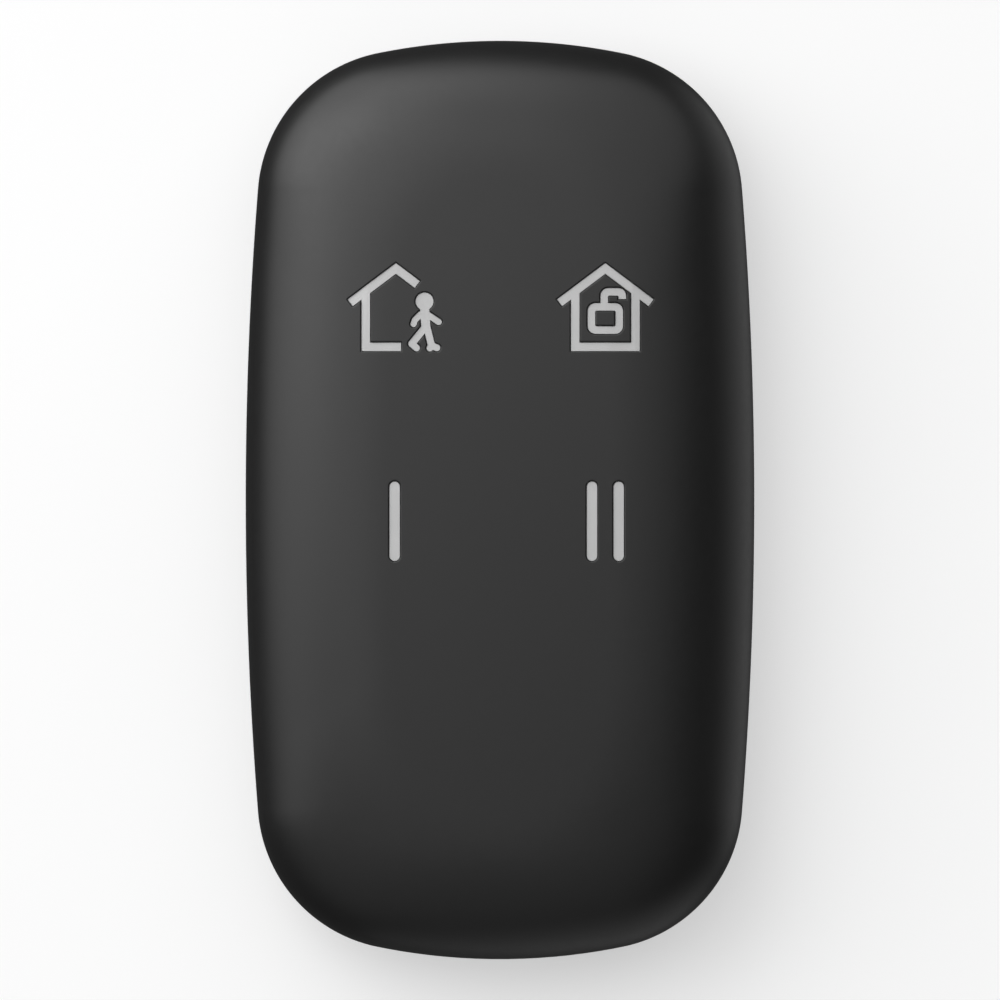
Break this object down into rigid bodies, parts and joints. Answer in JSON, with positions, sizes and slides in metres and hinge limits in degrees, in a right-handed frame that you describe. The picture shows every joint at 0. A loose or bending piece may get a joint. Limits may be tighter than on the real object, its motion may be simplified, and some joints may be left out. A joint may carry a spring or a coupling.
{
  "type": "alarm key fob",
  "caption": "Hand-held alarm key fob: soft pebble-shaped front with flush symbol keys, hard rear shell with a turn-to-open coin cell cap and a key ring pin in a notch.",
  "frame": {"origin": "middle of the flat rear face, on the surface that the fob lies on", "axes": "+X to the right of the front, +Y to the upper end, +Z out of the front"},
  "size_m": [0.036, 0.065, 0.0125],
  "materials": {
    "soft_skin": "matt soft-touch elastomer, charcoal",
    "inner_plastic": "plain moulded, black",
    "rear_plastic": "fine spark texture, charcoal",
    "seal_rubber": "smooth black",
    "pin_steel": "ground stainless",
    "screw_steel": "zinc plated",
    "symbol_plastic": "matt, pale grey",
    "switch_plastic": "black",
    "tin_steel": "tinned sheet",
    "board": "green solder mask",
    "cell_steel": "nickel plated",
    "contact_brass": "gold plated spring sheet",
    "chip_plastic": "moulded black",
    "lamp_plastic": "clear over white",
    "capacitor_ceramic": "tan"
  },
  "bodies": {
    "housing": {"front_skin": "soft_skin", "front_shell": "inner_plastic", "rear_shell": "rear_plastic", "keyring_pin": "pin_steel", "case_screws": "screw_steel", "switch_bodies": "switch_plastic", "switch_covers": "tin_steel", "circuit_board": "board", "coin_cell": "cell_steel", "negative_contact": "contact_brass", "positive_contact": "contact_brass", "microcontroller": "chip_plastic", "radio_chip": "chip_plastic", "crystal": "tin_steel", "loop_antenna": "contact_brass", "status_led": "lamp_plastic", "capacitors": "capacitor_ceramic", "resistors": "chip_plastic"},
    "cap": {"battery_cap": "rear_plastic", "cap_seal": "seal_rubber"},
    "key_away": {"key_pad_away": "soft_skin", "key_insert_away": "symbol_plastic", "switch_stem_away": "switch_plastic"},
    "key_disarm": {"key_pad_disarm": "soft_skin", "key_insert_disarm": "symbol_plastic", "switch_stem_disarm": "switch_plastic"},
    "key_one": {"key_pad_one": "soft_skin", "key_insert_one": "symbol_plastic", "switch_stem_one": "switch_plastic"},
    "key_two": {"key_pad_two": "soft_skin", "key_insert_two": "symbol_plastic", "switch_stem_two": "switch_plastic"}
  },
  "joints": [
    {"name": "cap_turn", "type": "hinge", "parent": "housing", "child": "cap", "pos_m": [0, -0.0085, 0], "axis": [0, 0, -1], "range_deg": [0, 60]},
    {"name": "press_away", "type": "slide", "parent": "housing", "child": "key_away", "axis": [0, 0, -1], "range_m": [0, 0.0004], "stiffness_N_per_m": 4000},
    {"name": "press_disarm", "type": "slide", "parent": "housing", "child": "key_disarm", "axis": [0, 0, -1], "range_m": [0, 0.0004], "stiffness_N_per_m": 4000},
    {"name": "press_one", "type": "slide", "parent": "housing", "child": "key_one", "axis": [0, 0, -1], "range_m": [0, 0.0004], "stiffness_N_per_m": 4000},
    {"name": "press_two", "type": "slide", "parent": "housing", "child": "key_two", "axis": [0, 0, -1], "range_m": [0, 0.0004], "stiffness_N_per_m": 4000}
  ]
}
